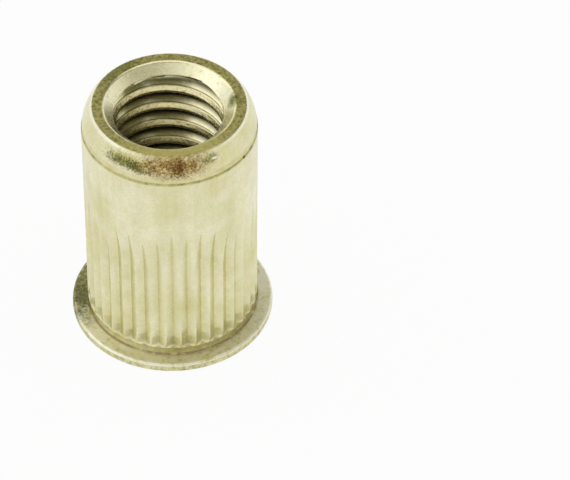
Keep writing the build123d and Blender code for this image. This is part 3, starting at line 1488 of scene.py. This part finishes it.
@dataclass
class Studio:
    """The pale table, the surroundings, the soft lamps and the camera."""

    lamps: tuple[Lamp, ...] = (
        Lamp("left lamp", (-640.0, -190.0), (-130.0, 300.0), glow=0.4),
        Lamp("overhead lamp", (-130.0, -112.0), (190.0, 150.0)),
    )
    fill: float = 0.5
    table_size: float = 3000.0
    # the table lies this little under the flange, so that the two don't share a plane
    table_below: float = 0.005
    table_colour: str = "F4F4F2"
    # how much of the table's look is plain white; within the nut's bore none of it is
    table_lift: float = 0.93
    unlit_radius: float = 5.0
    # what the metal shows: white all round up to half way, then an unlit ceiling that leans to the right
    sky_places: tuple[float, ...] = (0.3, 0.685, 0.735, 0.8, 0.97)
    sky_tones: tuple[str, ...] = ("FFFFFF", "F4F1DC", "86825A", "66623E", "605C3C")
    ceiling_lean: Place = (0.2, 0.1, 1.0)
    lens: float = 195.8
    eye: Place = (0.0, -139.36, 140.57)
    aim: Place = (7.37, 5.29, 0.0)
    roll: float = 0.94
    nearest: float = 5.0
    farthest: float = 20000.0

    def seen_as_background(self, tree: bpy.types.NodeTree) -> bpy.types.Node:
        """Gives 1 to rays from the camera and to those that metal or glass sends on, and 0 to the rest.

        Args:
            tree: a world's or a material's nodes.

        Returns:
            The node that gives it.
        """
        path = add_node(tree, "ShaderNodeLightPath").outputs
        direct = (path["Is Camera Ray"], path["Is Glossy Ray"])
        eye_or_gloss = add_node(tree, MATH, direct, operation="MAXIMUM")
        return add_node(tree, MATH, (eye_or_gloss, path["Is Transmission Ray"]), operation="MAXIMUM")

    def world(self) -> None:
        """Lights the scene softly from all round.

        The eye sees plain white there, and the metal shows white that turns to a dim olive ceiling overhead.
        """
        world = bpy.data.worlds.new("white surroundings")
        bpy.context.scene.world = world
        world.use_nodes = True
        tree = world.node_tree
        tree.nodes.clear()
        towards = add_node(tree, "ShaderNodeTexCoord").outputs["Generated"]
        upward = add_node(tree, "ShaderNodeVectorMath", (towards, self.ceiling_lean), operation="DOT_PRODUCT")
        sky = add_node(tree, "ShaderNodeValToRGB", (upward.outputs["Value"],))
        set_stops(sky.color_ramp, self.sky_places, self.sky_tones)
        path = add_node(tree, "ShaderNodeLightPath").outputs
        sent_on = (path["Is Glossy Ray"], path["Is Transmission Ray"])
        is_gloss = add_node(tree, MATH, sent_on, operation="MAXIMUM")
        shown = {"Factor": is_gloss, "A": linear("FFFFFF"), "B": sky.outputs["Color"]}
        colour = add_node(tree, "ShaderNodeMix", shown, data_type="RGBA")
        seen = self.seen_as_background(tree)
        strength = add_node(tree, "ShaderNodeMapRange", {"Value": seen, "To Min": self.fill, "To Max": 1.0})
        background = add_node(tree, "ShaderNodeBackground", {"Color": colour, "Strength": strength})
        add_node(tree, "ShaderNodeOutputWorld", (background,))

    def table(self) -> bpy.types.Object:
        """Adds the pale table, which stays white to the eye and keeps the nut's shadow.

        Returns:
            The table.
        """
        material = bpy.data.materials.new("matt white table")
        material.use_nodes = True
        tree = material.node_tree
        tree.nodes.clear()
        seen = self.seen_as_background(tree)
        texture = add_node(tree, "ShaderNodeTexCoord")
        place = {"Vector": texture.outputs["Object"]}
        away = add_node(tree, "ShaderNodeVectorMath", place, operation="LENGTH").outputs["Value"]
        is_open = add_node(tree, MATH, (away, self.unlit_radius * MM), operation="GREATER_THAN")
        open_seen = add_node(tree, MATH, (seen, is_open), operation="MULTIPLY")
        lift = add_node(tree, MATH, (open_seen, self.table_lift), operation="MULTIPLY")
        matt = add_node(tree, "ShaderNodeBsdfDiffuse", {"Color": linear(self.table_colour)})
        white = add_node(tree, "ShaderNodeEmission", {"Strength": 1.0})
        mixed = add_node(tree, "ShaderNodeMixShader", (lift, matt, white))
        add_node(tree, "ShaderNodeOutputMaterial", (mixed,))
        mesh = bpy.data.meshes.new("table")
        half = self.table_size / 2 * MM
        level = -self.table_below * MM
        corners = [(-half, -half, level), (half, -half, level), (half, half, level), (-half, half, level)]
        mesh.from_pydata(corners, [], [(0, 1, 2, 3)])
        mesh.materials.append(material)
        table = bpy.data.objects.new("table", mesh)
        bpy.context.scene.collection.objects.link(table)
        return table

    def light(self) -> list[bpy.types.Object]:
        """Adds the lamps, each as strong as its size needs for its glow.

        Returns:
            The lamps.
        """
        lights = []
        for lamp in self.lamps:
            data = bpy.data.lights.new(lamp.name, "AREA")
            data.shape = "RECTANGLE"
            data.size = (lamp.high[0] - lamp.low[0]) * MM
            data.size_y = (lamp.high[1] - lamp.low[1]) * MM
            data.energy = lamp.glow * math.pi * data.size * data.size_y
            light = bpy.data.objects.new(lamp.name, data)
            bpy.context.scene.collection.objects.link(light)
            middle = (Vector(lamp.low) + Vector(lamp.high)) / 2
            light.location = Vector((middle.x, middle.y, lamp.height)) * MM
            lights.append(light)
        return lights

    def camera(self) -> bpy.types.Object:
        """Adds the camera, which looks down at the nut from the front.

        Returns:
            The camera.
        """
        data = bpy.data.cameras.new("camera")
        data.lens = self.lens
        data.clip_start = self.nearest * MM
        data.clip_end = self.farthest * MM
        camera = bpy.data.objects.new("camera", data)
        bpy.context.scene.collection.objects.link(camera)
        camera.location = Vector(self.eye) * MM
        along = Vector(self.aim) * MM - camera.location
        tilt = Quaternion((0, 0, 1), math.radians(self.roll))
        camera.rotation_mode = "QUATERNION"
        camera.rotation_quaternion = along.to_track_quat("-Z", "Y") @ tilt
        bpy.context.scene.camera = camera
        bpy.context.scene.view_settings.view_transform = "Standard"
        return camera


# the marks on the nose and the flange, the ones beneath first
STAINS = (
    Stain(
        StainKind.OLIVE_FILM,
        bearing=4,
        radius=4.4,
        height=16.7,
        half_width=3.3,
        half_height=0.16,
        cover=0.8,
        ragged=1.6,
        least_radius=4.0,
    ),
    Stain(
        StainKind.OLIVE_FILM,
        bearing=-27,
        radius=4.95,
        height=16.3,
        half_width=1.9,
        half_height=0.3,
        cover=0.75,
        ragged=2.4,
    ),
    Stain(
        StainKind.GREEN_BLOOM,
        bearing=-34,
        radius=5.1,
        height=16.02,
        half_width=1.3,
        half_height=0.38,
        cover=0.95,
        ragged=2.2,
    ),
    Stain(
        StainKind.GREEN_BLOOM,
        bearing=-20,
        radius=5.12,
        height=15.93,
        half_width=0.75,
        half_height=0.42,
        cover=1.0,
        ragged=1.8,
    ),
    Stain(
        StainKind.BROWN_BLOOM,
        bearing=3,
        radius=5.08,
        height=16.12,
        half_width=2.3,
        half_height=0.78,
        cover=1.0,
    ),
    Stain(
        StainKind.MAROON_BLOOM,
        bearing=5,
        radius=5.09,
        height=16.0,
        half_width=0.62,
        half_height=0.5,
        cover=0.95,
    ),
    Stain(
        StainKind.GREEN_BLOOM,
        bearing=29,
        radius=5.0,
        height=16.25,
        half_width=0.55,
        half_height=0.26,
        cover=0.7,
    ),
    Stain(
        StainKind.BARE_NICK,
        bearing=31.5,
        radius=5.02,
        height=16.2,
        half_width=0.22,
        half_height=0.07,
        cover=1.0,
        ragged=0.6,
    ),
    Stain(
        StainKind.DARK_SPECK,
        bearing=56,
        radius=5.33,
        height=15.02,
        half_width=0.14,
        half_height=0.1,
        cover=0.9,
        ragged=0.6,
    ),
    Stain(
        StainKind.GREEN_BLOOM,
        bearing=96,
        radius=3.86,
        height=16.62,
        half_width=0.6,
        half_height=0.5,
        cover=0.9,
        ragged=1.8,
        least_radius=3.3,
    ),
    Stain(
        StainKind.GREEN_BLOOM,
        bearing=222,
        radius=4.4,
        height=16.7,
        half_width=1.7,
        half_height=0.4,
        cover=0.6,
        ragged=2.4,
        least_radius=4.02,
    ),
    Stain(
        StainKind.GREEN_BLOOM,
        bearing=-98,
        radius=5.9,
        height=0.45,
        half_width=3.2,
        half_height=0.6,
        cover=0.9,
        ragged=1.6,
    ),
)


def main() -> None:
    """Builds the nut, dresses it and sets up its surroundings."""
    logging.basicConfig(level=logging.INFO, format="%(message)s")
    _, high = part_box("rivet_nut")
    shank_radius, _, neck_end = mount_span("sheet_neck")
    entry_radius, entry_start, entry_end = mount_span("screw_entry")
    minor_radius, _, _ = mount_span("thread")
    outside = Outside(
        length=high.z / MM,
        flange_radius=high.x / MM,
        flange_thickness=mount("flange_seat")["pos_m"][2] / MM,
        shank_radius=shank_radius,
        counterbore_radius=entry_radius,
        counterbore_start=entry_start,
        counterbore_depth=entry_end,
    )
    nut = RivetNut(outside, Knurl(start=neck_end), TappedBore(minor_radius))
    piece = nut.build(YellowZincPlate().material(nut, STAINS))
    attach(piece, "root")
    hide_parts("rivet_nut")
    LOG.info("%s: %d faces", piece.name, len(piece.data.polygons))
    studio = Studio()
    studio.world()
    for fitting in (studio.table(), *studio.light(), studio.camera()):
        LOG.info("%s: %s", fitting.name, fitting.type.lower())


if __name__ == "__main__":
    main()
